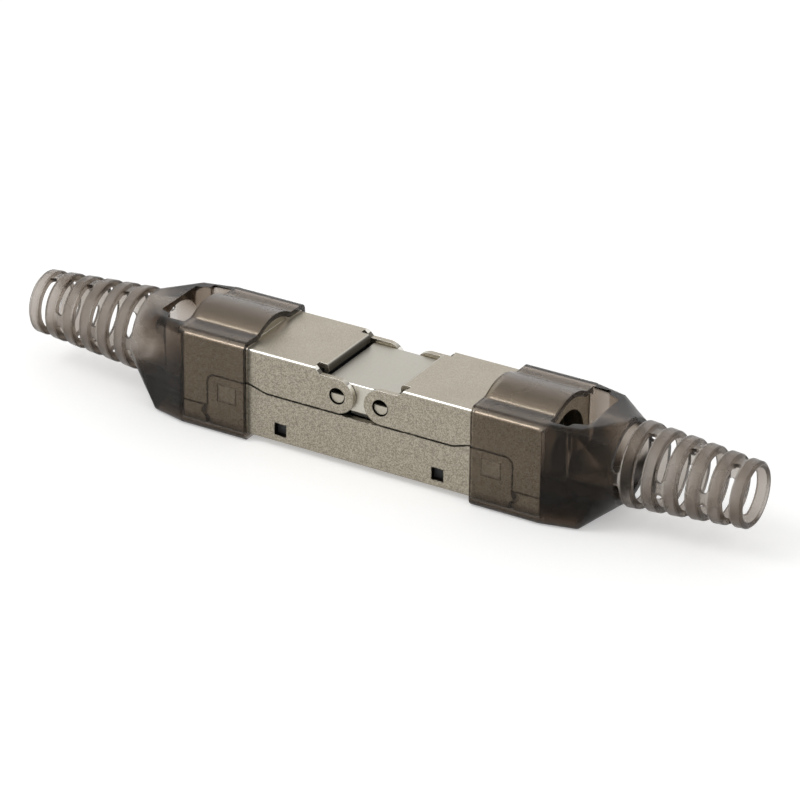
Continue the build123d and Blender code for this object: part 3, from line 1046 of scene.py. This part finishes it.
@dataclass(frozen=True)
class ViewCamera:
    """The camera at the photograph's view, in degrees and metres where a name says nothing else."""

    azimuth: float = 30.067
    elevation: float = 26.808
    roll: float = 0.776
    distance: float = 0.638662
    target: Place = (0.00269, 0.0, 0.009673)
    focal_pixels: float = 4070.884
    image_pixels: float = 800.0
    sensor_millimetres: float = 36.0

    def build(self) -> None:
        """Places the camera and has the scene use it."""
        azimuth = math.radians(self.azimuth)
        elevation = math.radians(self.elevation)
        roll = math.radians(self.roll)
        forward = Vector(
            (
                -math.sin(azimuth) * math.cos(elevation),
                math.cos(azimuth) * math.cos(elevation),
                -math.sin(elevation),
            )
        )
        right = forward.cross(Vector((0.0, 0.0, 1.0))).normalized()
        up = right.cross(forward)
        leaning_right = math.cos(roll) * right + math.sin(roll) * up
        leaning_up = math.cos(roll) * up - math.sin(roll) * right
        data = bpy.data.cameras.new("camera")
        data.sensor_width = self.sensor_millimetres
        data.lens = self.focal_pixels * self.sensor_millimetres / self.image_pixels
        camera = bpy.data.objects.new("camera", data)
        turn = Matrix((leaning_right, leaning_up, -forward)).transposed()
        place = Vector(self.target) - forward * self.distance
        camera.matrix_world = Matrix.Translation(place) @ turn.to_4x4()
        bpy.context.scene.collection.objects.link(camera)
        bpy.context.scene.camera = camera


@dataclass(frozen=True)
class Studio:
    """Floor, lamps, world and camera."""

    floor_size: float = 8.0
    floor_colour: Colour = (0.9, 0.9, 0.89)
    floor_top_up: float = 0.22
    floor_seen_extra: float = 0.12
    world_diffuse: float = 0.62
    world_seen: float = 1.0
    softboxes: tuple[Softbox, ...] = (
        Softbox("softbox_front", (-0.31, -0.33, 0.55), size=0.3, power=1.1),
        Softbox("softbox_back", (-0.33, 0.57, 0.36), size=0.55, power=0.22),
        Softbox("softbox_right", (0.55, -0.2, 0.45), size=0.3, power=0.3),
    )
    camera: ViewCamera = ViewCamera()

    def build(self) -> None:
        """Makes the whole studio."""
        self._world()
        self._floor()
        for softbox in self.softboxes:
            softbox.build()
        self.camera.build()
        bpy.context.scene.view_settings.view_transform = "Standard"

    @staticmethod
    def _seen_ray(sheet: ShaderSheet, path: bpy.types.NodeOutputs) -> Socket:
        """Finds the rays that show the background.

        Args:
            sheet: the nodes of the floor or the world.
            path: what is known of the ray.

        Returns:
            The socket with the mask.
        """
        rays = ("Is Camera Ray", "Is Glossy Ray", "Is Transmission Ray")
        return sheet.any_of(*(path[ray] for ray in rays))

    def _world(self) -> None:
        """White surroundings, weaker as a light than as a background."""
        world = bpy.data.worlds.new("studio")
        bpy.context.scene.world = world
        world.use_nodes = True
        sheet = ShaderSheet(world.node_tree)
        seen = self._seen_ray(sheet, sheet.node("LightPath").outputs)
        strength = sheet.fade(seen, 0.0, 1.0, self.world_diffuse, self.world_seen)
        back = sheet.node("Background", {"Color": WHITE, "Strength": strength})
        sheet.node("OutputWorld", {"Surface": back.outputs["Background"]})

    def _floor(self) -> None:
        """A plain pale floor, topped up to white where it is seen."""
        half = self.floor_size / 2
        mesh = bpy.data.meshes.new("floor")
        corners = [(-half, -half, 0.0), (half, -half, 0.0), (half, half, 0.0), (-half, half, 0.0)]
        mesh.from_pydata(corners, [], [(0, 1, 2, 3)])
        mesh.materials.append(self._floor_paint())
        floor = bpy.data.objects.new("floor", mesh)
        bpy.context.scene.collection.objects.link(floor)

    def _floor_paint(self) -> bpy.types.Material:
        """Mixes the floor's paint.

        Returns:
            The material.
        """
        paint = bpy.data.materials.new("floor_paint")
        paint.use_nodes = True
        sheet = ShaderSheet(paint.node_tree)
        path = sheet.node("LightPath").outputs
        seen = sheet.math("MULTIPLY", self._seen_ray(sheet, path), self.floor_top_up)
        strength = sheet.math("MULTIPLY_ADD", path["Is Camera Ray"], self.floor_seen_extra, seen)
        matt = sheet.node("BsdfDiffuse", {"Color": opaque(self.floor_colour)})
        glow = sheet.node("Emission", {"Color": WHITE, "Strength": strength})
        both = sheet.node("AddShader", {0: matt.outputs[0], 1: glow.outputs[0]})
        sheet.node("OutputMaterial", {"Surface": both.outputs[0]})
        return paint


def main() -> None:
    """Dresses the coupler and builds the studio."""
    logging.basicConfig(level=logging.INFO, format="%(name)s: %(message)s")
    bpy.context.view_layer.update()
    wardrobe = Wardrobe()
    PackedNodes(wardrobe).dress()
    for pin in HINGE_PINS:
        made = pin.build(wardrobe)
        log.info("%s takes the place of %s", made.name, pin.node)
    Studio().build()
    log.info("boxes written")


if __name__ == "__main__":
    main()
